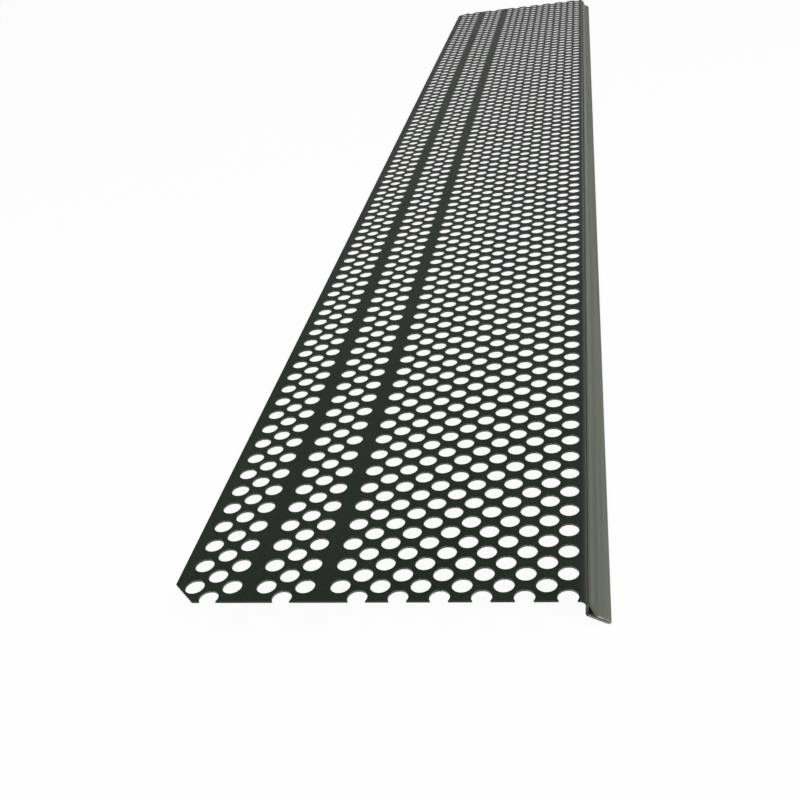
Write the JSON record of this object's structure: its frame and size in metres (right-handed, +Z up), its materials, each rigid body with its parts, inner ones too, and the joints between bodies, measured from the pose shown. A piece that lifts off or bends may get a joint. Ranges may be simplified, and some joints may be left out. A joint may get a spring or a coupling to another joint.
{
  "type": "gutter guard",
  "caption": "Long thin perforated metal gutter guard: flat sheet with staggered round drain holes, clipped rear corners and a rolled, hemmed front lip that tucks under a gutter's edge.",
  "frame": {"origin": "under the centre of the guard's outline, level with the lowest point of the hemmed lip", "axes": "+Y along the length, away from the near end of the picture; +X across the sheet from the rear edge to the front lip; +Z up, out of the top face"},
  "size_m": [0.137, 0.9144, 0.0093],
  "materials": {
    "painted_sheet": "satin dark charcoal paint on aluminium sheet, with an olive-grey reverse side that shows on the hem"
  },
  "bodies": {
    "root": {"gutter_guard": "painted_sheet"}
  },
  "joints": []
}
